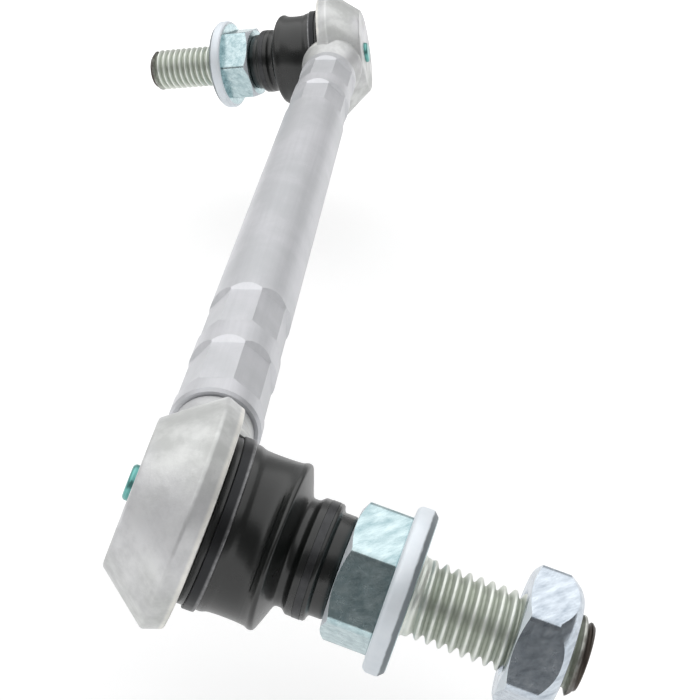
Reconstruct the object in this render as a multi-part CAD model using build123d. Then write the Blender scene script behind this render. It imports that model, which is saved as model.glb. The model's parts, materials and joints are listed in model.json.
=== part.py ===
from build123d import *
import math
import os

# Anti-roll bar drop link: a crimped tube rod with a ball joint at each end.
# Millimetres, +X along the rod from the near end to the far end, +Z up from the table it lies on.
# The origin is the centre of the near stud's seat face.

# Link layout
link_length = 232.0        # from ball centre to ball centre
rod_setback = 3.4          # rod's axis, behind the ball centres
near_mouth_drop = 21.0     # near cup's mouth, below level towards -Y
far_mouth_drop = 10.0      # far cup's mouth, below level towards +Y
near_angle_along = -9.2    # near stud, swung along the rod from square
near_angle_across = -6.7   # near stud, swung across the rod from square
far_angle_along = -9.4     # far stud, swung along the rod from square
far_angle_across = -0.6    # far stud, swung across the rod from square
near_stud_turn = 7.0       # near hexagons, turned about the stud
far_stud_turn = 10.0       # far hexagon, turned about the stud

# Clearances
ball_clearance = 0.03      # ball in its plastic bearing
bearing_clearance = 0.05   # bearing halves and closing ring in the steel cup
shank_clearance = 0.05     # shank in the tube's bore
plug_clearance = 0.05      # grease plug in its hole
thread_clearance = 0.06    # nut and insert on the thread
insert_clearance = 0.05    # nylon insert in the nut
boot_clearance = 0.15      # rubber boot round steel
ring_clearance = 0.05      # spring rings on the boot

# Ball stud
ball_radius = 9.0
ball_foot_height = 8.6     # the flat at the foot of the ball
stud_neck_radius = 4.6
stud_neck_end = 10.2
stud_seat_radius = 6.9     # the smooth seat of the boot's lip
stud_seat_start = 13.2
stud_thread_radius = 6.0
near_stud_tip = 58.2
far_stud_tip = 53.8
stud_tip_chamfer = 1.2
stud_hex_across_flats = 19.0
stud_hex_start = 21.0
stud_hex_length = 7.5
collar_radius = 12.7
collar_thickness = 3.4
collar_chamfer = 0.7

# Steel cup of each joint
bearing_wall = 1.2
cup_back_wall = 2.0
cup_back_radius = 11.5
cup_rim_radius = 18.1
cup_rim_height = -3.8
cup_front_radius = 17.1
cup_front_height = -0.8
cup_edge_round = 0.8
snout_wall = 1.35
lip_thickness = 0.9        # rolled over the closing ring
swing_cone = 31.0          # half angle that the stud's neck can sweep
neck_sweep_gap = 0.15      # between the swept neck and the mouth

# Ball bearing, in two plastic halves, and the steel ring that closes it
bearing_split_gap = 0.1
bearing_mouth_height = 4.0
closing_ring_thickness = 1.0
grease_groove_count = 6
grease_groove_width = 1.0
grease_groove_depth = 0.5

# Neck and shank of the cup, along the rod
neck_root_radius = 8.6
neck_root_end = 14.0       # from the ball centre, where the neck starts to taper
neck_radius = 6.6
neck_start = 20.0
neck_end = 22.6
boot_space = 1.0           # free space outside the clamp ring
shank_radius = 5.75
shank_length = 42.5
shank_groove_depth = 0.6
shank_groove_width = 3.0
shank_tip_chamfer = 1.0

# Rod tube
rod_radius = 7.75
tube_end_gap = 0.3         # between the tube's end and the neck
tube_edge_chamfer = 0.5
crimp_flat_count = 8
crimp_across_flats = 13.9
crimp_length = 19.0
crimp_gap = 1.6            # between the two crimps of one end
crimp_inset = 1.6          # from the tube's end to its first crimp
crimp_runout = 3.4
crimp_turn = -2.0          # flats, turned about the rod

# Grease plug in the cup's back
plug_hole_radius = 1.7
plug_head_radius = 2.8
plug_head_height = 1.0
plug_head_round = 0.6
plug_offset = 2.0          # from the cup's axis, towards the rod

# Rubber boot: mouth on the snout, body with an end bead, shoulder, neck band and lip on the stud
boot_wall = 1.2
boot_mouth_height = 3.6
boot_body_start = 4.4
boot_body_step = 0.35      # the body's radius, in from the mouth's
boot_body_end = 11.9
boot_bead_step = 0.3       # the bead's radius, out from the body's
boot_bead_start = 10.6
boot_bead_round = 0.4
boot_shoulder_wall = 1.75  # walls round the lip's inside
boot_shoulder_end = 13.6
boot_waist_wall = 1.25
boot_waist_end = 14.6
boot_neck_wall = 1.95
boot_neck_start = 15.4
boot_lip_start = 18.2
boot_lip_wall = 0.85
boot_front_gap = 0.3       # from the cup's front face to the boot's mouth

# Spring rings on the boot
clamp_ring_width = 2.0
clamp_ring_thickness = 0.8
clamp_ring_inset = 1.0     # below the top of the boot's straight mouth
neck_ring_height = 16.4
neck_ring_width = 1.3
neck_ring_thickness = 0.7

# Lock nut on the near stud
nut_across_flats = 19.0
nut_start = 47.4
nut_corner_length = 4.8    # where the crown starts to round the corners off
nut_crown_height = 2.3     # from there to where it meets the middle of each flat
nut_length = 8.0
nut_wall_at_insert = 1.3
nut_crown_round = 0.8
nut_lip = 0.5
insert_length = 2.2
insert_wall = 0.74         # from the thread out

# Overrun of a cut past the surface it opens
overrun = 1.0

# Worked out from the sizes above
stud_hex_end = stud_hex_start + stud_hex_length
seat_height = stud_hex_end + collar_thickness
cup_bore_radius = ball_radius + bearing_wall + bearing_clearance
cup_floor = -(ball_radius + bearing_wall + bearing_clearance)
cup_back = cup_floor - cup_back_wall
snout_radius = cup_bore_radius + snout_wall
nut_insert_radius = stud_thread_radius + thread_clearance + insert_wall
boot_mouth_inside = snout_radius + boot_clearance
boot_mouth_radius = boot_mouth_inside + boot_wall
boot_body_radius = boot_mouth_radius - boot_body_step
boot_bead_radius = boot_body_radius + boot_bead_step
boot_lip_inside = stud_seat_radius + boot_clearance
boot_shoulder_radius = boot_lip_inside + boot_shoulder_wall
boot_waist_radius = boot_lip_inside + boot_waist_wall
boot_neck_radius = boot_lip_inside + boot_neck_wall
boot_lip_radius = boot_lip_inside + boot_lip_wall
back_floor = cup_floor + bearing_clearance
closing_ring_low = bearing_mouth_height + bearing_clearance
lip_height = closing_ring_low + closing_ring_thickness + bearing_clearance
snout_end = lip_height + lip_thickness
clamp_groove_low = boot_mouth_height - clamp_ring_inset - clamp_ring_width
tube_start = neck_end + tube_end_gap
tube_bore_radius = shank_radius + shank_clearance
crimp_starts = [tube_start + crimp_inset, tube_start + crimp_inset + crimp_length + crimp_gap]


def turned(outline, rounds=()):
    """A solid of revolution about Z; rounds lists (corner number, radius)."""
    face = make_face(Plane.XZ * Polyline(*outline, close=True))
    for corner, radius in rounds:
        across, height = outline[corner]
        point = Vector(across, 0, height)
        vertex = face.vertices().sort_by_distance(point)[0]
        face = fillet(vertex, radius)
    return revolve(face, Axis.Z)


def ring(inner, outer, low, high):
    """A plain ring about Z."""
    return turned([(inner, low), (outer, low), (outer, high), (inner, high)])


def hexagon_bar(across_flats, low, high, chamfer_low=True, chamfer_high=True):
    """A hexagon bar about Z, its corners turned off at 30 degrees."""
    flat_radius = across_flats / 2
    corner_radius = flat_radius / math.cos(math.pi / 6)
    drop = (corner_radius - flat_radius) * math.tan(math.radians(30))
    bar = extrude(Plane.XY.offset(low) * RegularPolygon(flat_radius, 6, major_radius=False), high - low)
    low_drop = drop if chamfer_low else 0
    high_drop = drop if chamfer_high else 0
    outline = [(0, low), (flat_radius if chamfer_low else corner_radius, low)]
    outline += [(corner_radius, low + low_drop)] if chamfer_low else []
    outline += [(corner_radius, high - high_drop)] if chamfer_high else []
    outline += [(flat_radius if chamfer_high else corner_radius, high), (0, high)]
    return bar & turned(outline)


def make_ball_stud(stud_tip):
    """Ball, neck, boot seat, hexagon, collar and thread, forged and turned as one."""
    ball = Sphere(ball_radius)
    ball -= Pos(0, 0, -ball_foot_height - ball_radius) * Cylinder(ball_radius, 2 * ball_radius)
    shaft = turned([
        (0, 0),
        (stud_neck_radius, 0),
        (stud_neck_radius, stud_neck_end),
        (stud_seat_radius, stud_seat_start),
        (stud_seat_radius, stud_hex_start),
        (stud_seat_radius, stud_hex_end),
        (stud_thread_radius, seat_height),
        (stud_thread_radius, stud_tip - stud_tip_chamfer),
        (stud_thread_radius - stud_tip_chamfer, stud_tip),
        (0, stud_tip),
    ])
    hexagon = hexagon_bar(stud_hex_across_flats, stud_hex_start, stud_hex_end, chamfer_high=False)
    collar = turned([
        (0, stud_hex_end),
        (collar_radius - collar_chamfer, stud_hex_end),
        (collar_radius, stud_hex_end + collar_chamfer),
        (collar_radius, seat_height - collar_chamfer),
        (collar_radius - collar_chamfer, seat_height),
        (0, seat_height),
    ])
    return ball + shaft + hexagon + collar


def mouth_radius(height):
    """Radius that the stud's neck needs at this height when it is swung over."""
    cone = math.radians(swing_cone)
    return height * math.tan(cone) + stud_neck_radius / math.cos(cone) + neck_sweep_gap


def make_cup():
    """Forged cup with its snout, rolled lip, neck and grooved shank."""
    outside = turned(
        [
            (0, cup_back),
            (cup_back_radius, cup_back),
            (cup_rim_radius, cup_rim_height),
            (cup_front_radius, cup_front_height),
            (snout_radius, cup_front_height),
            (snout_radius, snout_end),
            (0, snout_end),
        ],
        rounds=[(1, cup_edge_round), (2, cup_edge_round), (3, cup_edge_round / 2)],
    )
    groove_radius = shank_radius - shank_groove_depth
    shank_end = neck_end + shank_length
    outline = [(0, 0), (0, neck_root_radius), (neck_root_end, neck_root_radius)]
    outline += [(neck_start, neck_radius), (neck_end, neck_radius), (neck_end, shank_radius)]
    for start in crimp_starts:
        middle = start + crimp_length / 2
        outline.append((middle - shank_groove_width / 2 - shank_groove_depth, shank_radius))
        outline.append((middle - shank_groove_width / 2, groove_radius))
        outline.append((middle + shank_groove_width / 2, groove_radius))
        outline.append((middle + shank_groove_width / 2 + shank_groove_depth, shank_radius))
    outline.append((shank_end - shank_tip_chamfer, shank_radius))
    outline.append((shank_end, shank_radius - shank_tip_chamfer))
    outline.append((shank_end, 0))
    arm = Pos(0, 0, -rod_setback) * revolve(make_face(Polyline(*outline, close=True)), Axis.X)
    clamp_outside = boot_mouth_radius + clamp_ring_thickness
    arm -= ring(0, clamp_outside + boot_space, cup_front_height, neck_root_radius)
    bore = turned([
        (0, cup_floor),
        (cup_bore_radius, cup_floor),
        (cup_bore_radius, lip_height),
        (mouth_radius(lip_height), lip_height),
        (mouth_radius(snout_end), snout_end),
        (0, snout_end),
    ])
    plug_hole = Pos(plug_offset, 0, cup_back) * Cylinder(plug_hole_radius, 2 * (cup_back_wall + overrun))
    return outside + arm - bore - plug_hole


def make_bearing_half(low, high):
    """One half of the plastic bearing, with grease grooves along the ball."""
    body = ring(0, ball_radius + bearing_wall, low, high)
    body -= Sphere(ball_radius + ball_clearance)
    groove_radius = ball_radius + grease_groove_depth
    blade = Pos(ball_radius, 0, 0) * Box(2 * ball_radius, grease_groove_width, 4 * ball_radius)
    for index in range(grease_groove_count):
        groove = Sphere(groove_radius) & Rot(Z=360 * index / grease_groove_count) * blade
        body -= groove
    return body - Pos(plug_offset, 0, 0) * ring(0, plug_hole_radius, cup_floor, 0)


def make_closing_ring():
    """Steel ring between the bearing and the cup's rolled lip."""
    high = closing_ring_low + closing_ring_thickness
    ball_width = math.sqrt(ball_radius**2 - closing_ring_low**2)
    return turned([
        (ball_width + neck_sweep_gap, closing_ring_low),
        (ball_radius + bearing_wall, closing_ring_low),
        (ball_radius + bearing_wall, high),
        (mouth_radius(high), high),
    ])


def make_plug():
    """Domed plug pressed into the filling hole at the cup's back."""
    stem_radius = plug_hole_radius - plug_clearance
    head = Pos(0, 0, cup_back - plug_head_height / 2) * Cylinder(plug_head_radius, plug_head_height)
    head = fillet(head.edges().filter_by(GeomType.CIRCLE).sort_by(Axis.Z)[0], plug_head_round)
    stem = Pos(0, 0, cup_back + cup_back_wall / 2) * Cylinder(stem_radius, cup_back_wall)
    return Pos(plug_offset, 0, 0) * (head + stem)


def leaned(along, across):
    """Turn of the stud about the ball centre, in the end's own frame."""
    return Rot(Y=along) * Rot(X=across)


def boot_lean(height):
    """Share of the stud's lean that the boot has taken up at this height."""
    share = (height - snout_end) / (boot_shoulder_end - boot_wall - snout_end)
    share = min(max(share, 0.0), 1.0)
    return share * share * (3 - 2 * share)


def boot_skin(stations, along, across):
    """Ruled skin through circles that lean more and more towards the stud."""
    sections = []
    for radius, height in stations:
        share = boot_lean(height)
        place = leaned(along * share, across * share) * Pos(0, 0, height)
        sections.append(place * Circle(radius))
    return loft(sections, ruled=True)


def make_boot(along, across):
    """Rubber boot from the cup's snout to the stud's seat."""
    low = cup_front_height + boot_front_gap
    lip_end = stud_hex_start - boot_clearance
    outside = boot_skin(
        [
            (boot_mouth_radius, low),
            (boot_mouth_radius, boot_mouth_height),
            (boot_body_radius, boot_body_start),
            (boot_body_radius, boot_bead_start),
            (boot_bead_radius, boot_bead_start + boot_bead_round),
            (boot_bead_radius, boot_body_end - boot_bead_round),
            (boot_bead_radius - boot_bead_round, boot_body_end),
            (boot_shoulder_radius, boot_shoulder_end - boot_bead_round),
            (boot_waist_radius, boot_shoulder_end),
            (boot_waist_radius, boot_waist_end),
            (boot_neck_radius, boot_neck_start),
            (boot_neck_radius, boot_lip_start),
            (boot_lip_radius, boot_lip_start + boot_bead_round),
            (boot_lip_radius, lip_end),
        ],
        along,
        across,
    )
    inside = boot_skin(
        [
            (boot_mouth_inside, low),
            (boot_mouth_inside, snout_end),
            (boot_bead_radius - boot_wall, boot_body_end - boot_wall),
            (boot_shoulder_radius - boot_wall, boot_shoulder_end - boot_bead_round - boot_wall),
            (boot_lip_inside, boot_shoulder_end - boot_wall),
            (boot_lip_inside, lip_end),
        ],
        along,
        across,
    )
    groove = ring(
        boot_mouth_radius - clamp_ring_thickness / 2,
        boot_mouth_radius + boot_wall,
        clamp_groove_low,
        clamp_groove_low + clamp_ring_width,
    )
    neck_groove = leaned(along, across) * ring(
        boot_neck_radius - neck_ring_thickness,
        boot_neck_radius + boot_wall,
        neck_ring_height,
        neck_ring_height + neck_ring_width,
    )
    return outside - inside - groove - neck_groove


def make_clamp_ring():
    """Flat spring ring that holds the boot's mouth on the snout."""
    groove_radius = boot_mouth_radius - clamp_ring_thickness / 2
    inner = groove_radius + ring_clearance
    low = clamp_groove_low + ring_clearance
    band = ring(inner, inner + clamp_ring_thickness, low, low + clamp_ring_width - 2 * ring_clearance)
    rims = band.edges().filter_by(GeomType.CIRCLE).sort_by(SortBy.RADIUS)[-2:]
    return fillet(rims, clamp_ring_thickness / 4)


def make_neck_ring():
    """Spring ring that holds the boot's lip on the stud."""
    inner = boot_neck_radius - neck_ring_thickness + ring_clearance
    low = neck_ring_height + ring_clearance
    return ring(inner, inner + neck_ring_thickness, low, low + neck_ring_width - 2 * ring_clearance)


def make_nut():
    """Hexagon lock nut, its crown rolled over its nylon insert."""
    nut_end = nut_start + nut_length
    bore_radius = stud_thread_radius + thread_clearance
    flat_radius = nut_across_flats / 2
    corner_radius = flat_radius / math.cos(math.pi / 6)
    crown_low = nut_start + nut_corner_length
    crown_radius = nut_insert_radius + insert_clearance + nut_wall_at_insert
    body = hexagon_bar(nut_across_flats, nut_start, nut_end, chamfer_high=False)
    body &= turned(
        [
            (0, nut_start),
            (corner_radius, nut_start),
            (corner_radius, crown_low),
            (flat_radius, crown_low + nut_crown_height),
            (crown_radius, nut_end),
            (0, nut_end),
        ],
        rounds=[(4, nut_crown_round / 2), (3, nut_crown_round)],
    )
    body -= Pos(0, 0, (nut_start + nut_end) / 2) * Cylinder(bore_radius, nut_end - nut_start)
    pocket_low = nut_end - nut_lip - insert_length - 2 * insert_clearance
    body -= ring(0, nut_insert_radius + insert_clearance, pocket_low, nut_end - nut_lip)
    return body


def make_nut_insert():
    """Nylon ring that grips the thread."""
    high = nut_start + nut_length - nut_lip - insert_clearance
    return ring(stud_thread_radius + thread_clearance, nut_insert_radius, high - insert_length, high)


def make_rod_tube():
    """Steel tube, pressed to flats over each shank."""
    length = link_length - 2 * tube_start
    section = Plane.YZ * (Circle(rod_radius) - Circle(tube_bore_radius))
    tube = Pos(tube_start, 0, 0) * extrude(section, length)
    tube = chamfer(
        tube.edges().filter_by(GeomType.CIRCLE).sort_by(SortBy.RADIUS)[-2:], tube_edge_chamfer
    )
    flat_height = crimp_across_flats / 2
    top = rod_radius + overrun
    starts = crimp_starts + [link_length - start - crimp_length for start in crimp_starts]
    for start in starts:
        end = start + crimp_length
        press = Plane.XZ * make_face(Polyline(
            (start, top),
            (start + crimp_runout, flat_height),
            (end - crimp_runout, flat_height),
            (end, top),
            close=True,
        ))
        press = extrude(press, rod_radius, both=True)
        for side in range(crimp_flat_count):
            tube -= Rot(X=360 * side / crimp_flat_count + crimp_turn) * press
    return tube


def end_place(far):
    """Frame of one end: at the ball's centre, X towards the rod, Z out of the cup's mouth."""
    drop = math.radians(far_mouth_drop if far else near_mouth_drop)
    side = 1 if far else -1
    mouth = Vector(0, side * math.cos(drop), -math.sin(drop))
    rod_end = Vector(link_length if far else 0, 0, 0)
    return Plane(origin=rod_end + mouth * rod_setback, x_dir=(-side, 0, 0), z_dir=mouth).location


near_lean = leaned(near_angle_along, near_angle_across)
far_lean = leaned(far_angle_along, far_angle_across)
seat_centre = (end_place(False) * near_lean * Pos(0, 0, seat_height)).position
to_origin = Pos(-seat_centre.X, -seat_centre.Y, -seat_centre.Z)

parts = {"rod_tube": to_origin * make_rod_tube()}
for end_name, lean, along, across, stud_turn, stud_tip in (
    ("near", near_lean, near_angle_along, near_angle_across, near_stud_turn, near_stud_tip),
    ("far", far_lean, far_angle_along, far_angle_across, far_stud_turn, far_stud_tip),
):
    place = to_origin * end_place(end_name == "far")
    stud_place = place * lean * Rot(Z=stud_turn)
    parts[end_name + "_housing"] = place * make_cup()
    half_gap = bearing_split_gap / 2
    parts[end_name + "_back_bearing"] = place * make_bearing_half(back_floor, -half_gap)
    parts[end_name + "_front_bearing"] = place * make_bearing_half(half_gap, bearing_mouth_height)
    parts[end_name + "_closing_ring"] = place * make_closing_ring()
    parts[end_name + "_grease_plug"] = place * make_plug()
    parts[end_name + "_boot_clamp_ring"] = place * make_clamp_ring()
    parts[end_name + "_boot"] = place * make_boot(along, across)
    parts[end_name + "_boot_neck_ring"] = place * lean * make_neck_ring()
    parts[end_name + "_ball_stud"] = stud_place * make_ball_stud(stud_tip)
    if end_name == "near":
        parts["near_nut"] = stud_place * make_nut()
        parts["near_nut_insert"] = stud_place * make_nut_insert()

os.makedirs("parts", exist_ok=True)
for node, shape in parts.items():
    export_step(shape, "parts/" + node + ".step")
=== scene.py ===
import bpy
import bmesh
import json
import math
from mathutils import Matrix, Quaternion, Vector


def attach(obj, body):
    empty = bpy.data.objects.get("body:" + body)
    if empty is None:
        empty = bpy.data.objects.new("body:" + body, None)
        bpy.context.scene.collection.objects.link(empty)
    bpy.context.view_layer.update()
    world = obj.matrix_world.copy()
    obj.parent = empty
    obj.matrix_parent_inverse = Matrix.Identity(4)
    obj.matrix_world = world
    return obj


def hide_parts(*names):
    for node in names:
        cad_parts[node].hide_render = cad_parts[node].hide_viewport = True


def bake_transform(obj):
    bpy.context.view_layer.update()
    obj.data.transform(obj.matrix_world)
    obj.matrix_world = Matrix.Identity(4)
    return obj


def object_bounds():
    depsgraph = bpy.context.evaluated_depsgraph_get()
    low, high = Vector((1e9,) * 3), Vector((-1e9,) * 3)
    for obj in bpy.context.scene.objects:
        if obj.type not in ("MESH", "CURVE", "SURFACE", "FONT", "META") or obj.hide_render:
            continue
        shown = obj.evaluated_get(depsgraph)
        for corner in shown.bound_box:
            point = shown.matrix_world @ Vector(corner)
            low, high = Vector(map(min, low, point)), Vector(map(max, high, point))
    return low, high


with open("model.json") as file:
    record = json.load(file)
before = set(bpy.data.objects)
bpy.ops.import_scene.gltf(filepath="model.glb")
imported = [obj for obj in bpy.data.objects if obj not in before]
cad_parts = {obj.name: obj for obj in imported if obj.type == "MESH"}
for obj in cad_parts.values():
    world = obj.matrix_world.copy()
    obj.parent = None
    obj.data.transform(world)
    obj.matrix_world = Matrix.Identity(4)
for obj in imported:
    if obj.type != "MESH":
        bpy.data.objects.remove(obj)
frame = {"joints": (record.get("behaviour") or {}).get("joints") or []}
first_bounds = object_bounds()

# Rod: a drawn steel tube, cut square and pressed to eight flats twice over each cup's shank.
# A satin silver-grey coat, with fine drawing lines along it and cloudy patches where it was handled.


def add(tree, kind, sockets=None, **settings):
    """A node, its inputs set to values or joined to other nodes' outputs."""
    made = tree.nodes.new(kind)
    for name, value in settings.items():
        setattr(made, name, value)
    for name, value in (sockets or {}).items():
        if isinstance(value, bpy.types.NodeSocket):
            tree.links.new(value, made.inputs[name])
        else:
            made.inputs[name].default_value = value
    return made


def times(tree, first, second):
    """Product of two numbers."""
    return add(tree, "ShaderNodeMath", {0: first, 1: second}, operation="MULTIPLY").outputs["Value"]


def ramp(tree, value, start, end, kind="SMOOTHSTEP"):
    """Goes from 0 to 1 while the value goes from start to end."""
    made = add(tree, "ShaderNodeMapRange", {
        "Value": value, "From Min": start, "From Max": end}, interpolation_type=kind)
    return made.outputs["Result"]


def noise(tree, place, scale, detail, roughness=0.5):
    """Noise from 0 to 1 over these places."""
    made = add(tree, "ShaderNodeTexNoise", {
        "Vector": place, "Scale": scale, "Detail": detail, "Roughness": roughness})
    return made.outputs["Fac"]


def new_group(name, values, results):
    """An empty shader group with named number and vector inputs and number outputs."""
    tree = bpy.data.node_groups.new(name, "ShaderNodeTree")
    tree.interface.new_socket("Vector", in_out="INPUT", socket_type="NodeSocketVector")
    for value in values:
        tree.interface.new_socket(value, in_out="INPUT", socket_type="NodeSocketFloat")
    for result in results:
        tree.interface.new_socket(result, in_out="OUTPUT", socket_type="NodeSocketFloat")
    return tree, tree.nodes.new("NodeGroupInput").outputs, tree.nodes.new("NodeGroupOutput").inputs


def steel_patches():
    """Cloudy patches, from 0 to 1, and a fine grain for the bump."""
    tree, given, result = new_group("steel_patches", ["Patch Scale", "Grain Scale"], ["Patches", "Grain"])
    cloud = noise(tree, given["Vector"], given["Patch Scale"], 6.0, 0.62)
    tree.links.new(ramp(tree, cloud, 0.36, 0.66), result["Patches"])
    tree.links.new(noise(tree, given["Vector"], given["Grain Scale"], 3.0, 0.7), result["Grain"])
    return tree


def fine_lines():
    """Fine lines, from 0 to 1: noise squeezed along the lines and crowded across them."""
    tree, given, result = new_group("fine_lines", ["Along", "Across"], ["Lines"])
    split = add(tree, "ShaderNodeSeparateXYZ", {"Vector": given["Vector"]}).outputs
    joined = add(tree, "ShaderNodeCombineXYZ", {
        "X": times(tree, split["X"], given["Along"]), "Y": times(tree, split["Y"], given["Across"]),
        "Z": times(tree, split["Z"], given["Across"])})
    tree.links.new(noise(tree, joined.outputs["Vector"], 1.0, 4.0, 0.65), result["Lines"])
    return tree


PATCHES = steel_patches()
LINES = fine_lines()


def new_material(name):
    """A material with its node tree and its Principled shader."""
    made = bpy.data.materials.new(name)
    made.use_nodes = True
    return made, made.node_tree, made.node_tree.nodes["Principled BSDF"]


def blended(tree, amount, first, second):
    """Colour that goes from the first to the second as the amount goes from 0 to 1."""
    mix = add(tree, "ShaderNodeMix", data_type="RGBA")
    for socket, value in (("Factor_Float", amount), ("A_Color", first), ("B_Color", second)):
        entry = [s for s in mix.inputs if s.identifier == socket][0]
        if isinstance(value, bpy.types.NodeSocket):
            tree.links.new(value, entry)
        else:
            entry.default_value = value
    return [s for s in mix.outputs if s.identifier == "Result_Color"][0]


def between(tree, amount, low, high):
    """Number that goes from low to high as the amount goes from 0 to 1."""
    made = add(tree, "ShaderNodeMapRange", {"Value": amount, "To Min": low, "To Max": high})
    return made.outputs["Result"]


def bumped(tree, shader, height, distance, strength=1.0):
    """Surface relief of this many metres."""
    bump = add(tree, "ShaderNodeBump", {"Height": height, "Distance": distance, "Strength": strength})
    tree.links.new(bump.outputs["Normal"], shader.inputs["Normal"])


def give(name, finish):
    """Put a finish on one of the CAD solids."""
    solid = bpy.data.objects[name]
    solid.data.materials.clear()
    solid.data.materials.append(finish)


def rod_steel():
    finish, tree, shader = new_material("rod_steel")
    place = add(tree, "ShaderNodeTexCoord").outputs["Object"]
    clouds = add(tree, "ShaderNodeGroup", {
        "Vector": place, "Patch Scale": 75.0, "Grain Scale": 2600.0}, node_tree=PATCHES)
    lines = add(tree, "ShaderNodeGroup", {
        "Vector": place, "Along": 45.0, "Across": 1500.0}, node_tree=LINES).outputs["Lines"]
    tone = blended(tree, clouds.outputs["Patches"], (0.66, 0.67, 0.69, 1), (0.76, 0.76, 0.79, 1))
    tone = blended(tree, between(tree, lines, 0.55, 0.0), tone, (0.50, 0.51, 0.53, 1))
    tree.links.new(tone, shader.inputs["Base Color"])
    tree.links.new(between(tree, lines, 0.36, 0.56), shader.inputs["Roughness"])
    shader.inputs["Metallic"].default_value = 0.7
    bumped(tree, shader, lines, 0.00002, 0.5)
    return finish


give("rod_tube", rod_steel())

# Cups: drop-forged steel, one at each end, machined at the rim and the back, with a shank in the tube.
# The same satin silver-grey coat, blotchy over a fine forged grain, with a painted highlight: pale along
# the rim's front edge.
FRONT_EDGE = (-0.0018, -0.0012)
RIM_INSIDE = (0.0156, 0.0162)
NECK_START = (0.013, 0.015)
joints = {joint["name"]: joint for joint in frame["joints"]}


def cup_place(end):
    """Frame of one end: at the ball's centre, X towards the rod, Z out of the cup's mouth."""
    swing = joints[end + "_swing_along"]
    across = Vector(swing["axis"])
    towards_rod = Vector((1 if end == "near" else -1, 0, 0))
    mouth = towards_rod.cross(across)
    return Matrix.Translation(swing["pos_m"]) @ Matrix((towards_rod, across, mouth)).transposed().to_4x4()


def end_coordinates(tree, end):
    """Places on a solid, seen from its own end of the link."""
    place = cup_place(end)
    seen = add(tree, "ShaderNodeMapping", {
        "Vector": add(tree, "ShaderNodeTexCoord").outputs["Object"],
        "Location": place.to_translation(), "Rotation": place.to_euler()}, vector_type="TEXTURE")
    return seen.outputs["Vector"]


def from_axis(tree, split):
    """Distance of a place from its own end's or piece's axis."""
    flat = add(tree, "ShaderNodeCombineXYZ", {"X": split["X"], "Y": split["Y"]})
    length = add(tree, "ShaderNodeVectorMath", {0: flat.outputs["Vector"]}, operation="LENGTH")
    return length.outputs["Value"]


def cup_steel(end):
    finish, tree, shader = new_material(end + "_cup_steel")
    place = end_coordinates(tree, end)
    clouds = add(tree, "ShaderNodeGroup", {
        "Vector": place, "Patch Scale": 170.0, "Grain Scale": 1500.0}, node_tree=PATCHES)
    tone = blended(tree, clouds.outputs["Patches"], (0.56, 0.57, 0.56, 1), (0.72, 0.73, 0.72, 1))
    violet = between(tree, noise(tree, place, 60.0, 2.0), -0.6, 0.75)
    tone = blended(tree, violet, tone, (0.68, 0.66, 0.73, 1))
    split = add(tree, "ShaderNodeSeparateXYZ", {"Vector": place}).outputs
    on_rim = ramp(tree, from_axis(tree, split), *RIM_INSIDE, "LINEAR")
    off_neck = between(tree, ramp(tree, split["X"], *NECK_START, "LINEAR"), 1.0, 0.0)
    # Painted highlight: a cream line along the rim's front edge, where the light catches it.
    painted_highlight = times(tree, times(tree, on_rim, off_neck), ramp(tree, split["Z"], *FRONT_EDGE))
    painted_highlight = times(tree, painted_highlight, between(tree, clouds.outputs["Patches"], 0.45, 1.0))
    tone = blended(tree, painted_highlight, tone, (0.95, 0.93, 0.87, 1))
    tree.links.new(tone, shader.inputs["Base Color"])
    tree.links.new(between(tree, clouds.outputs["Patches"], 0.52, 0.40), shader.inputs["Roughness"])
    shader.inputs["Metallic"].default_value = 0.6
    bumped(tree, shader, clouds.outputs["Grain"], 0.00006, 0.6)
    return finish


for end in ("near", "far"):
    give(end + "_housing", cup_steel(end))

# Inside each cup: two moulded acetal halves round the ball, closed by a turned steel ring.
# A small turned plug, passivated blue-green, is pressed into the filling hole at the cup's back.


def moulded(name, light, dark, roughness, scale):
    """Moulded plastic: a slow change of tone and a faint grained skin."""
    finish, tree, shader = new_material(name)
    place = add(tree, "ShaderNodeTexCoord").outputs["Object"]
    grain = noise(tree, place, scale * 18, 2.0)
    tree.links.new(blended(tree, noise(tree, place, scale, 4.0), dark, light), shader.inputs["Base Color"])
    tree.links.new(between(tree, grain, roughness, roughness + 0.12), shader.inputs["Roughness"])
    bumped(tree, shader, grain, 0.00003, 0.4)
    return finish


def tool_rings():
    """Rings that a turning tool leaves about the Z axis, from 0 to 1."""
    tree, given, result = new_group("tool_rings", ["Per Metre", "Detail"], ["Rings"])
    height = add(tree, "ShaderNodeSeparateXYZ", {"Vector": given["Vector"]}).outputs["Z"]
    feed = add(tree, "ShaderNodeTexNoise", {
        "W": times(tree, height, given["Per Metre"]), "Scale": 1.0, "Detail": given["Detail"]},
        noise_dimensions="1D")
    tree.links.new(feed.outputs["Fac"], result["Rings"])
    return tree


RINGS = tool_rings()


def turned_steel(name, end, light, dark):
    """Turned steel: fine rings about the end's own axis."""
    finish, tree, shader = new_material(name)
    place = end_coordinates(tree, end)
    rings = add(tree, "ShaderNodeGroup", {
        "Vector": place, "Per Metre": 5200.0, "Detail": 3.0}, node_tree=RINGS).outputs["Rings"]
    tree.links.new(blended(tree, rings, dark, light), shader.inputs["Base Color"])
    tree.links.new(between(tree, rings, 0.24, 0.42), shader.inputs["Roughness"])
    shader.inputs["Metallic"].default_value = 1.0
    bumped(tree, shader, rings, 0.00002, 0.5)
    return finish


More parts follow.
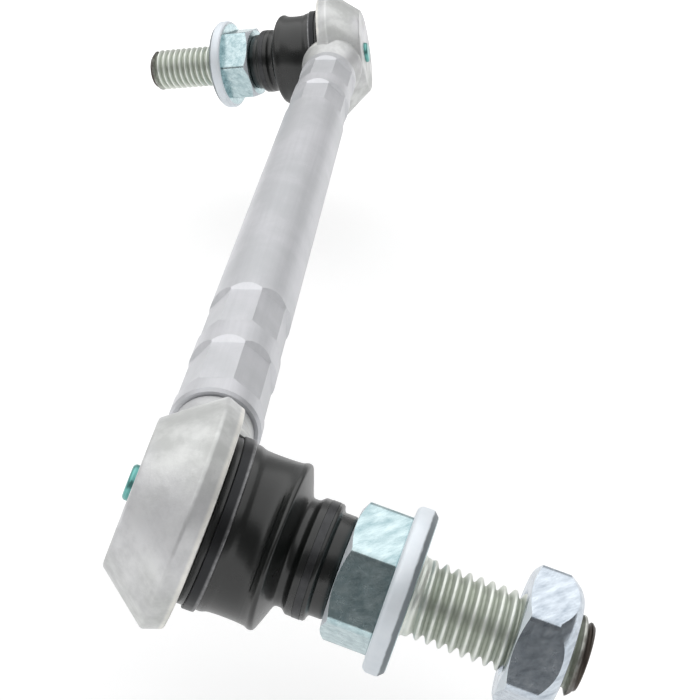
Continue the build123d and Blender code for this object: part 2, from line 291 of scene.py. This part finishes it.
ACETAL = moulded("bearing_acetal", (0.78, 0.75, 0.66, 1), (0.66, 0.62, 0.52, 1), 0.38, 140.0)
for end in ("near", "far"):
    give(end + "_back_bearing", ACETAL)
    give(end + "_front_bearing", ACETAL)
    give(end + "_grease_plug",
         turned_steel(end + "_plug_zinc", end, light=(0.22, 0.50, 0.46, 1), dark=(0.10, 0.32, 0.31, 1)))
    give(end + "_closing_ring",
         turned_steel(end + "_closing_steel", end, light=(0.62, 0.62, 0.62, 1), dark=(0.45, 0.45, 0.46, 1)))

# Ball studs: ball, neck, seat, hexagon, round collar and M12 thread, headed and turned as one.
# Blue-passivated zinc over all but the polished ball; the thread is rolled, with painted shade in its
# roots, and darker towards the sawn tip.
# The collar rim and the hexagon's chamfer are painted pale as a highlight, and the collar's front chamfer
# dark as a painted shade.
TURN = 2 * math.pi
STUD_TIP = {"near": 0.0582, "far": 0.0538}
STUD_TURN = {"near": 7.0, "far": 10.0}
NECK_END = 0.0105
HEX_START = 0.021
HEX_FLAT = 0.0095
HEX_CORNER = 0.0108
CHAMFER_FOOT = 0.00935
CHAMFER_SLOPE = math.tan(math.radians(30))
COLLAR_START = 0.0285
COLLAR_FACE = 0.0118
COLLAR_END = 0.0319
THREAD_START = 0.0325
PITCH = 0.00175
CREST = 0.00595
CORE = 0.0048
CUT = 0.00106
ROUND_STEPS = 96
ROUND_ANGLES = [TURN * k / ROUND_STEPS for k in range(ROUND_STEPS)]
SIDE_STEPS = [0, 1.4] + list(range(4, 57, 4)) + [58.6]
HEX_ANGLES = [math.radians(60 * side + step) for side in range(6) for step in SIDE_STEPS]


def hexagon(angle):
    """Distance from the axis to a hexagon's side at this angle, its corners a little rounded."""
    return min(HEX_FLAT / math.cos(angle % (TURN / 6) - TURN / 12), HEX_CORNER)


def leaned(along, across):
    """Turn of a stud about the ball's centre, in its end's own frame."""
    return Matrix.Rotation(along, 4, "Y") @ Matrix.Rotation(across, 4, "X")


def stud_lean(end):
    """How far the stud is swung along the rod and across it."""
    axis = cup_place(end).to_3x3().transposed() @ Vector(joints[end + "_stud_turn"]["axis"])
    return math.atan2(axis.x, axis.z), -math.asin(axis.y)


def skinned(name, rings, loop=False):
    """Mesh through rings of points, outside going up; a ring of one point closes an end."""
    points = [point for ring in rings for point in ring]
    starts = [sum(len(ring) for ring in rings[:k]) for k in range(len(rings))]
    faces = []
    pairs = list(zip(range(len(rings) - 1), range(1, len(rings))))
    if loop:
        pairs.append((len(rings) - 1, 0))
    for low, high in pairs:
        a, b = starts[low], starts[high]
        count = max(len(rings[low]), len(rings[high]))
        for k in range(count):
            n = (k + 1) % count
            if len(rings[low]) == 1:
                faces.append((a, b + n, b + k))
            elif len(rings[high]) == 1:
                faces.append((a + k, a + n, b))
            else:
                faces.append((a + k, a + n, b + n, b + k))
    mesh = bpy.data.meshes.new(name)
    mesh.from_pydata(points, [], faces)
    local = mesh.attributes.new("local", "FLOAT_VECTOR", "POINT")
    local.data.foreach_set("vector", [number for point in points for number in point])
    return mesh


def circle(radius, height, angles=ROUND_ANGLES):
    """Ring of points about Z; the radius is a number or follows the angle."""
    reach = [radius(angle) if callable(radius) else radius for angle in angles]
    return [Vector((r * math.cos(angle), r * math.sin(angle), height)) for r, angle in zip(reach, angles)]


def cut_hexagon(reach, height):
    """Ring whose height follows its own distance from the axis."""
    rows = [(reach(angle), angle) for angle in HEX_ANGLES]
    return [Vector((r * math.cos(angle), r * math.sin(angle), height(r))) for r, angle in rows]


def set_in(name, mesh, place, finishes, sharp=32):
    """Finished object at the origin, with its place in its mesh."""
    mesh.transform(place)
    for finish in finishes:
        mesh.materials.append(finish)
    for face in mesh.polygons:
        face.use_smooth = True
    mesh.set_sharp_from_angle(angle=math.radians(sharp))
    piece = bpy.data.objects.new(name, mesh)
    bpy.context.scene.collection.objects.link(piece)
    return piece


def thread_tree():
    """Geometry Nodes: one rolled thread, a strip one pitch wide wound up the stud."""
    tree = bpy.data.node_groups.new("rolled_thread", "GeometryNodeTree")
    for name in ("Low", "High", "Pitch", "Crest", "Depth", "End Radius"):
        tree.interface.new_socket(name, in_out="INPUT", socket_type="NodeSocketFloat")
    tree.interface.new_socket("Turns", in_out="INPUT", socket_type="NodeSocketInt")
    tree.interface.new_socket("Finish", in_out="INPUT", socket_type="NodeSocketMaterial")
    tree.interface.new_socket("Geometry", in_out="OUTPUT", socket_type="NodeSocketGeometry")
    given = tree.nodes.new("NodeGroupInput").outputs

    def calc(operation, first, second=0.0, third=0.0):
        made = add(tree, "ShaderNodeMath", {0: first, 1: second, 2: third}, operation=operation)
        return made.outputs["Value"]

    steps = calc("MULTIPLY_ADD", given["Turns"], ROUND_STEPS, 1.0)
    strip = add(tree, "GeometryNodeMeshGrid", {
        "Size X": 1.0, "Size Y": 1.0, "Vertices X": steps, "Vertices Y": 11})
    flat = add(tree, "ShaderNodeSeparateXYZ", {
        "Vector": add(tree, "GeometryNodeInputPosition").outputs["Position"]})
    wound = calc("MULTIPLY", calc("ADD", flat.outputs["X"], 0.5), given["Turns"])
    over = calc("ADD", flat.outputs["Y"], 0.5)
    rise = calc("SUBTRACT", calc("ADD", wound, over), 1.0)
    rise = calc("MULTIPLY_ADD", rise, given["Pitch"], given["Low"])
    height = calc("MINIMUM", calc("MAXIMUM", rise, given["Low"]), given["High"])
    hollow = ramp(tree, calc("ABSOLUTE", calc("MULTIPLY_ADD", over, 2.0, -1.0)), 0.1, 0.92)
    start = ramp(tree, height, given["Low"], calc("ADD", given["Low"], given["Pitch"]))
    cut = calc("MULTIPLY", calc("MULTIPLY", hollow, start), given["Depth"])
    chamfer = calc("ADD", given["End Radius"], calc("SUBTRACT", given["High"], height))
    reach = calc("MINIMUM", calc("SUBTRACT", given["Crest"], cut), chamfer)
    angle = calc("MULTIPLY", wound, TURN)
    place = add(tree, "ShaderNodeCombineXYZ", {
        "X": calc("MULTIPLY", reach, calc("COSINE", angle)),
        "Y": calc("MULTIPLY", reach, calc("SINE", angle)),
        "Z": height})
    moved = add(tree, "GeometryNodeSetPosition", {
        "Geometry": strip.outputs["Mesh"], "Position": place.outputs["Vector"]})
    closed = add(tree, "GeometryNodeMergeByDistance", {
        "Geometry": moved.outputs["Geometry"], "Distance": 0.000004})
    noted = add(tree, "GeometryNodeStoreNamedAttribute", {
        "Geometry": closed.outputs["Geometry"], "Name": "local",
        "Value": add(tree, "GeometryNodeInputPosition").outputs["Position"]},
        data_type="FLOAT_VECTOR", domain="POINT")
    real = add(tree, "GeometryNodeRealizeInstances", {"Geometry": noted.outputs["Geometry"]})
    dressed = add(tree, "GeometryNodeSetMaterial", {
        "Geometry": real.outputs["Geometry"], "Material": given["Finish"]})
    tree.links.new(dressed.outputs["Geometry"], tree.nodes.new("NodeGroupOutput").inputs["Geometry"])
    return tree


THREAD = thread_tree()


def wound_thread(low, high, finish):
    """Plain mesh of the thread between two heights."""
    carrier = bpy.data.objects.new("thread_blank", bpy.data.meshes.new("thread_blank"))
    bpy.context.scene.collection.objects.link(carrier)
    winding = carrier.modifiers.new("thread", "NODES")
    winding.node_group = THREAD
    sizes = {"Low": low, "High": high, "Pitch": PITCH, "Crest": CREST, "Depth": CUT,
             "End Radius": CORE, "Turns": math.ceil((high - low) / PITCH) + 1, "Finish": finish}
    for socket in THREAD.interface.items_tree:
        if socket.in_out == "INPUT":
            winding[socket.identifier] = sizes[socket.name]
    ready = carrier.evaluated_get(bpy.context.evaluated_depsgraph_get())
    mesh = bpy.data.meshes.new_from_object(ready)
    carrier.modifiers.clear()
    bpy.data.objects.remove(carrier)
    return mesh


def local_place(tree):
    """Places on a piece in its own frame, as kept in its mesh."""
    kept = add(tree, "ShaderNodeAttribute", attribute_name="local", attribute_type="GEOMETRY")
    return kept.outputs["Vector"]


def zinc(name, light, dark, smooth, rough):
    """Zinc plating: wiped, cloudy passivation, and fine turning lines about the piece's own axis."""
    finish, tree, shader = new_material(name)
    place = local_place(tree)
    clouds = add(tree, "ShaderNodeGroup", {
        "Vector": place, "Patch Scale": 330.0, "Grain Scale": 1900.0}, node_tree=PATCHES)
    slanted = add(tree, "ShaderNodeMapping", {"Vector": place, "Rotation": (0.7, 0.6, 0.3)})
    wiped = add(tree, "ShaderNodeGroup", {
        "Vector": slanted.outputs["Vector"], "Along": 220.0, "Across": 900.0}, node_tree=LINES)
    rings = add(tree, "ShaderNodeGroup", {
        "Vector": place, "Per Metre": 3400.0, "Detail": 2.0}, node_tree=RINGS)
    tone = blended(tree, between(tree, wiped.outputs["Lines"], -0.9, 1.9), dark, light)
    tone = blended(tree, between(tree, clouds.outputs["Patches"], 0.0, 0.3), tone, light)
    tree.links.new(tone, shader.inputs["Base Color"])
    cloudy = noise(tree, place, 420.0, 5.0, 0.7)
    tree.links.new(between(tree, cloudy, rough, smooth), shader.inputs["Roughness"])
    shader.inputs["Metallic"].default_value = 1.0
    relief = add(tree, "ShaderNodeMath", {
        0: rings.outputs["Rings"], 1: 0.4, 2: clouds.outputs["Grain"]}, operation="MULTIPLY_ADD")
    bumped(tree, shader, relief.outputs["Value"], 0.00002, 0.5)
    return finish


def dark_band():
    """A ragged band, from 0 below the one height to 1 above the other."""
    tree, given, result = new_group("dark_band", ["Speckle", "Ragged", "Start", "Full"], ["Stain"])
    height = add(tree, "ShaderNodeSeparateXYZ", {"Vector": given["Vector"]}).outputs["Z"]
    ragged = add(tree, "ShaderNodeMath", {
        0: given["Speckle"], 1: given["Ragged"], 2: height}, operation="MULTIPLY_ADD")
    tree.links.new(ramp(tree, ragged.outputs["Value"], given["Start"], given["Full"]), result["Stain"])
    return tree


DARK_BAND = dark_band()


def thread_zinc(end):
    """The rolled thread: painted shade in its roots, paler at the crests, with an olive cast, and darker
    towards the sawn tip.
    """
    finish, tree, shader = new_material(end + "_thread_zinc")
    place = local_place(tree)
    split = add(tree, "ShaderNodeSeparateXYZ", {"Vector": place}).outputs
    # Painted shade: the roots are darker than the crests.
    crest = ramp(tree, from_axis(tree, split), CORE, 0.0059, "LINEAR")
    speckle = noise(tree, place, 700.0, 4.0)
    tone = blended(tree, crest, (0.42, 0.45, 0.40, 1), (0.82, 0.84, 0.80, 1))
    tone = blended(tree, between(tree, speckle, -0.1, 0.45), tone, (0.62, 0.68, 0.56, 1))
    # Darker over the last 2 mm towards the tip.
    dark_end = add(tree, "ShaderNodeGroup", {
        "Vector": place, "Speckle": speckle, "Ragged": 0.0012,
        "Start": STUD_TIP[end] - 0.0018, "Full": STUD_TIP[end] - 0.0002}, node_tree=DARK_BAND)
    tone = blended(tree, dark_end.outputs["Stain"], tone, (0.075, 0.062, 0.052, 1))
    tree.links.new(tone, shader.inputs["Base Color"])
    tree.links.new(between(tree, speckle, 0.32, 0.58), shader.inputs["Roughness"])
    shader.inputs["Metallic"].default_value = 0.8
    bumped(tree, shader, speckle, 0.00002, 0.4)
    return finish


def highlit_edge_zinc(name, darkened_from):
    """Turned rims and chamfers: satin, with a painted highlight that makes them paler than the flats, and
    painted shade from this height up.
    """
    finish, tree, shader = new_material(name)
    place = local_place(tree)
    feed = add(tree, "ShaderNodeGroup", {
        "Vector": place, "Per Metre": 5200.0, "Detail": 3.0}, node_tree=RINGS).outputs["Rings"]
    speckle = noise(tree, place, 500.0, 4.0)
    corner = add(tree, "ShaderNodeGroup", {
        "Vector": place, "Speckle": speckle, "Ragged": 0.0004,
        "Start": darkened_from, "Full": darkened_from + 0.0003}, node_tree=DARK_BAND)
    # Painted highlight: the pale tone on the rims and chamfers.
    tone = blended(tree, speckle, (0.76, 0.82, 0.87, 1), (0.88, 0.92, 0.96, 1))
    # Painted shade: dark from the given height up, on the collar's front chamfer.
    tone = blended(tree, corner.outputs["Stain"], tone, (0.24, 0.27, 0.29, 1))
    tree.links.new(tone, shader.inputs["Base Color"])
    tree.links.new(between(tree, feed, 0.46, 0.66), shader.inputs["Roughness"])
    shader.inputs["Metallic"].default_value = 0.45
    bumped(tree, shader, feed, 0.00002, 0.5)
    return finish


BALL_STEEL = zinc("ball_polish", (0.66, 0.66, 0.67, 1), (0.55, 0.55, 0.57, 1), 0.10, 0.18)
STUD_ZINC = zinc("stud_zinc", (0.58, 0.70, 0.72, 1), (0.28, 0.40, 0.43, 1), 0.16, 0.34)
COLLAR_ZINC = highlit_edge_zinc("collar_zinc", COLLAR_END - 0.0008)
THREAD_ZINC = {end: thread_zinc(end) for end in ("near", "far")}


def stud_rings(tip):
    """Outline of the stud, from the foot of the ball to the sawn tip."""
    ball, foot, neck = 0.009, 0.0086, 0.0046
    foot_angle = math.acos(foot / ball)
    neck_angle = math.pi - math.asin(neck / ball)
    arc = [foot_angle + (neck_angle - foot_angle) * k / 24 for k in range(25)]
    rows = [(ball * math.sin(a), -ball * math.cos(a)) for a in arc]
    rows += [(neck, 0.0101), (0.00475, 0.0105), (0.0067, 0.0131), (0.0069, 0.0134), (0.0069, 0.0209)]
    rings = [[Vector((0, 0, -foot))]] + [circle(r, z, HEX_ANGLES) for r, z in rows]
    rings.append(circle(0.0071, HEX_START, HEX_ANGLES))
    rings.append(circle(CHAMFER_FOOT, HEX_START, HEX_ANGLES))
    rings.append(cut_hexagon(hexagon, lambda r: HEX_START + 0.00005 + (r - HEX_FLAT) * CHAMFER_SLOPE))
    rings.append(circle(hexagon, COLLAR_START - 0.00015, HEX_ANGLES))
    rows = [(0.0112, COLLAR_START), (0.0119, COLLAR_START), (0.0122, 0.0286), (0.0126, 0.029),
            (0.0127, 0.0293), (0.0127, 0.0308), (0.01262, 0.03105), (0.0119, 0.03178),
            (0.01165, COLLAR_END), (0.0066, COLLAR_END), (0.0062, 0.032), (CREST, 0.0323),
            (CREST, THREAD_START), (CORE, 0.0331), (CORE, tip)]
    rings += [circle(r, z, HEX_ANGLES) for r, z in rows]
    rings += [circle(0.0040, tip, HEX_ANGLES), [Vector((0, 0, tip))]]
    return rings


def stud_finish(face):
    """Finish of a face of the stud: 0 the polish, 1 the zinc, 2 the thread's, 3 the turned edges'."""
    height, out = face.center.z, face.center.xy.length
    # The collar rim and the hexagon's chamfer take the pale finish, a painted highlight.
    collar_rim = height > COLLAR_START and out > COLLAR_FACE
    hexagon_chamfer = HEX_START < height < HEX_START + 0.0007 and out > CHAMFER_FOOT
    if height < NECK_END:
        return 0
    if collar_rim or hexagon_chamfer:
        return 3
    return 1 if height < COLLAR_END + 0.00002 else 2


for end in ("near", "far"):
    body = skinned(end + "_stud_body", stud_rings(STUD_TIP[end]))
    both = bmesh.new()
    both.from_mesh(body)
    both.from_mesh(wound_thread(THREAD_START, STUD_TIP[end], THREAD_ZINC[end]))
    mesh = bpy.data.meshes.new(end + "_stud")
    both.to_mesh(mesh)
    both.free()
    for face in mesh.polygons:
        face.material_index = stud_finish(face)
    turn = Matrix.Rotation(math.radians(STUD_TURN[end]), 4, "Z")
    stud = set_in(end + "_stud_piece", mesh, cup_place(end) @ leaned(*stud_lean(end)) @ turn,
                  [BALL_STEEL, STUD_ZINC, THREAD_ZINC[end], COLLAR_ZINC])
    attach(stud, end + "_stud")
    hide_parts(end + "_ball_stud")

# Boots: moulded black rubber bellows, thick at the mouth and the lip, held by the two spring rings.
# Each bends between the cup and the swung stud, so it is two skins that meet near the top of the body.
SNOUT_END = 0.006
LEAN_END = 0.0124
SEAM = 0.0092
BODY_OUTSIDE = [
    (0.01275, -0.0005), (0.01295, -0.0003), (0.01295, 0.0006), (0.01255, 0.0006), (0.01255, 0.0026),
    (0.01295, 0.0026), (0.01295, 0.0033), (0.01287, 0.0037), (0.01268, 0.0042), (0.0126, 0.0046),
    (0.01256, 0.0056), (0.01255, 0.0062), (0.01255, 0.0068), (0.01255, 0.0074), (0.01255, 0.008),
    (0.01256, 0.0086), (0.01257, SEAM)]
BODY_INSIDE = [(0.01175, SEAM), (0.01175, 0.0076), (0.01175, 0.006), (0.01175, -0.0004), (0.0119, -0.0005)]
NECK_OUTSIDE = [
    (0.01257, SEAM), (0.0126, 0.0098), (0.01265, 0.0104), (0.0128, 0.01075), (0.0129, 0.0111),
    (0.01288, 0.01145), (0.01275, 0.01175), (0.0125, 0.0119), (0.0121, 0.01205), (0.0112, 0.0124),
    (0.0101, 0.0128), (0.0092, 0.01312),
    (0.0086, 0.01338), (0.00838, 0.0136), (0.0083, 0.0139), (0.0083, 0.0144), (0.0084, 0.01475),
    (0.0088, 0.0152), (0.00897, 0.0154), (0.009, 0.0156), (0.009, 0.0164), (0.0083, 0.0164),
    (0.0083, 0.0177), (0.009, 0.0177), (0.009, 0.0181), (0.0088, 0.01835), (0.0083, 0.0185),
    (0.00795, 0.0187), (0.0079, 0.019), (0.0079, 0.0205), (0.0077, 0.0208), (0.0074, 0.02085)]
NECK_INSIDE = [(0.00715, 0.02085), (0.00705, 0.0207), (0.00705, 0.0132), (0.0076, 0.0126), (0.0094, 0.0119),
               (0.0112, 0.0112), (0.01165, 0.0106), (0.01175, 0.0099), (0.01175, SEAM)]


def rubber():
    """Black rubber: a soft sheen, a fine moulded skin, and slow marks where it was wiped."""
    finish, tree, shader = new_material("boot_rubber")
    place = local_place(tree)
    wiped = noise(tree, place, 130.0, 5.0, 0.6)
    tone = blended(tree, wiped, (0.0018, 0.002, 0.002, 1), (0.006, 0.008, 0.007, 1))
    tree.links.new(tone, shader.inputs["Base Color"])
    tree.links.new(between(tree, wiped, 0.2, 0.38), shader.inputs["Roughness"])
    shader.inputs["Specular IOR Level"].default_value = 0.65
    bumped(tree, shader, noise(tree, place, 2400.0, 3.0), 0.00003, 0.35)
    return finish


RUBBER = rubber()


def boot_lean(height, along, across):
    """Turn of the boot at this height: more and more of the stud's own."""
    share = min(max((height - SNOUT_END) / (LEAN_END - SNOUT_END), 0.0), 1.0)
    share = share * share * (3 - 2 * share)
    return leaned(along * share, across * share)


for end in ("near", "far"):
    along, across = stud_lean(end)
    place = cup_place(end)
    halves = []
    for part, rows in (("body", BODY_OUTSIDE + BODY_INSIDE), ("neck", NECK_OUTSIDE + NECK_INSIDE)):
        flat = [circle(radius, height) for radius, height in rows]
        rings = [[boot_lean(point.z, along, across) @ point for point in ring] for ring in flat]
        mesh = skinned(end + "_boot_" + part, rings, loop=True)
        unbent = [number for ring in flat for point in ring for number in point]
        mesh.attributes["local"].data.foreach_set("vector", unbent)
        halves.append(set_in(end + "_boot_" + part + "_skin", mesh, place, [RUBBER], sharp=50))
    body, neck = halves
    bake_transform(body)
    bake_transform(neck)
    for piece in halves:
        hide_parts(end + "_boot")

# Rings: a flat spring steel clamp round each boot's mouth and a narrow one round its neck.
# Both are blackened, and the clamp has a painted highlight: pale along its edge.
CLAMP_EDGE = (0.0019, 0.0023)


def ring_steel(end, part, painted_highlight):
    finish, tree, shader = new_material(end + part)
    place = end_coordinates(tree, end)
    height = add(tree, "ShaderNodeSeparateXYZ", {"Vector": place}).outputs["Z"]
    wear = noise(tree, place, 900.0, 3.0)
    # Painted highlight: paler along the clamp's edge, and only faintly on the neck ring.
    bright = between(tree, times(tree, ramp(tree, height, *CLAMP_EDGE), wear), 0.0, painted_highlight)
    tone = blended(tree, bright, (0.030, 0.031, 0.033, 1), (0.45, 0.45, 0.46, 1))
    tree.links.new(tone, shader.inputs["Base Color"])
    tree.links.new(between(tree, wear, 0.28, 0.48), shader.inputs["Roughness"])
    shader.inputs["Metallic"].default_value = 0.85
    bumped(tree, shader, wear, 0.00002, 0.4)
    return finish


for end in ("near", "far"):
    give(end + "_boot_clamp_ring", ring_steel(end, "_clamp_steel", 0.75))
    give(end + "_boot_neck_ring", ring_steel(end, "_neck_ring_steel", 0.12))

# Lock nut on the near stud: 19 mm hexagon, its crown rolled over a nylon ring that grips the thread.
# The same blue zinc as the studs, its corners rounded off under the crown, its foot chamfer painted pale as
# a highlight; the nylon is dark.
NUT_START = 0.0474
NUT_LENGTH = 0.008
CROWN = [(0.01097, 0.0048), (0.0105, 0.00555), (0.01, 0.00632), (0.0096, 0.0069), (0.0092, 0.0073),
         (0.0087, 0.00766), (0.0083, 0.0079)]


def crown_height(reach):
    """Height of the crown's skin above the nut's foot, at this distance from the axis."""
    for (outer, low), (inner, high) in zip(CROWN, CROWN[1:]):
        if reach >= inner:
            return NUT_START + low + (high - low) * (outer - reach) / (outer - inner)
    return NUT_START + NUT_LENGTH


def nut_rings():
    """Outline of the nut: up its outside, over the crown and back down the bore."""
    bore, crown, top = 0.00606, CROWN[-1][0], NUT_START + NUT_LENGTH
    rings = [circle(bore + 0.0005, NUT_START, HEX_ANGLES), circle(CHAMFER_FOOT, NUT_START, HEX_ANGLES)]
    rings.append(cut_hexagon(hexagon, lambda r: NUT_START + 0.00005 + (r - HEX_FLAT) * CHAMFER_SLOPE))
    for step in range(9):
        inward = step / 8
        rings.append(cut_hexagon(lambda a: hexagon(a) * (1 - inward) + crown * inward, crown_height))
    for radius, height in ((0.0081, top), (0.0072, top), (0.00695, top - 0.0001), (0.0069, top - 0.0005),
                           (0.0069, top - 0.0028), (bore, top - 0.0028), (bore, NUT_START + 0.0005)):
        rings.append(circle(radius, height, HEX_ANGLES))
    return rings


lean = leaned(*stud_lean("near")) @ Matrix.Rotation(math.radians(STUD_TURN["near"]), 4, "Z")
NUT_ZINC = zinc("nut_zinc", (0.64, 0.70, 0.76, 1), (0.34, 0.39, 0.45, 1), 0.16, 0.34)
# Pale foot chamfer: a painted highlight.
NUT_CHAMFER = highlit_edge_zinc("nut_chamfer_zinc", 0.07)
mesh = skinned("near_nut_piece", nut_rings(), loop=True)
for face in mesh.polygons:
    on_chamfer = face.center.z < NUT_START + 0.0006 and face.center.xy.length > CHAMFER_FOOT
    face.material_index = 1 if on_chamfer else 0
nut = set_in("near_nut_piece", mesh, cup_place("near") @ lean, [NUT_ZINC, NUT_CHAMFER])
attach(nut, "near_nut")
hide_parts("near_nut")
NYLON = moulded("insert_nylon", (0.16, 0.13, 0.10, 1), (0.07, 0.05, 0.04, 1), 0.4, 300.0)
give("near_nut_insert", NYLON)

# Stage: a white sheet under the link, a large soft lamp overhead, a dim room around and the camera.
# The link is held up over the sheet, so that both studs can swing down without touching it.
HELD_UP = 0.0275
SHADED = (0.14, 0.7)
bpy.ops.mesh.primitive_plane_add(size=6, location=(0.1, 0, first_bounds[0].z - HELD_UP))
floor = bpy.context.object
floor.name = "floor"
sheet, tree, shader = new_material("white_sheet")
shader.inputs["Base Color"].default_value = (0.8, 0.8, 0.8, 1)
shader.inputs["Roughness"].default_value = 0.9
path = add(tree, "ShaderNodeLightPath")
seen = add(tree, "ShaderNodeMath", {
    0: path.outputs["Is Camera Ray"], 1: path.outputs["Is Glossy Ray"]}, operation="MAXIMUM")
place = add(tree, "ShaderNodeTexCoord").outputs["Object"]
reach = add(tree, "ShaderNodeVectorMath", {0: place}, operation="LENGTH").outputs["Value"]
white = between(tree, ramp(tree, reach, *SHADED), 0.33, 1.0)
shader.inputs["Emission Color"].default_value = (1, 1, 1, 1)
tree.links.new(times(tree, seen.outputs["Value"], white), shader.inputs["Emission Strength"])
floor.data.materials.append(sheet)

world = bpy.data.worlds.new("studio")
world.use_nodes = True
air = world.node_tree
sky = air.nodes["Background"]
sky.inputs["Color"].default_value = (1, 1, 1, 1)
way = add(air, "ShaderNodeTexCoord").outputs["Generated"]
lit_side = add(air, "ShaderNodeVectorMath", {0: way, 1: (0.75, 0.66, 0.0)}, operation="DOT_PRODUCT")
room = between(air, ramp(air, lit_side.outputs["Value"], -0.6, 0.6), 0.16, 0.58)
seen = add(air, "ShaderNodeLightPath").outputs["Is Camera Ray"]
backdrop = add(air, "ShaderNodeMath", {0: room, 1: seen}, operation="MAXIMUM")
air.links.new(backdrop.outputs["Value"], sky.inputs["Strength"])
bpy.context.scene.world = world
bpy.context.scene.view_settings.view_transform = "Standard"

lamp_data = bpy.data.lights.new("softbox", "AREA")
lamp_data.shape = "RECTANGLE"
lamp_data.size = 1.4
lamp_data.size_y = 1.4
lamp_data.energy = 6.4
lamp = bpy.data.objects.new("softbox", lamp_data)
lamp.location = (0.2, 0.0, 0.62)
bpy.context.scene.collection.objects.link(lamp)

camera_data = bpy.data.cameras.new("camera")
camera = bpy.data.objects.new("camera", camera_data)
bpy.context.scene.collection.objects.link(camera)
camera.location = (-0.16209, -0.00414, 0.12898)
camera.rotation_mode = "QUATERNION"
camera.rotation_quaternion = Quaternion((0.633977, 0.377439, -0.3478, -0.578487))
camera_data.lens = 71.7882
camera_data.shift_x = 0.00635
camera_data.shift_y = -0.01333
camera_data.clip_start = 0.01
bpy.context.scene.camera = camera
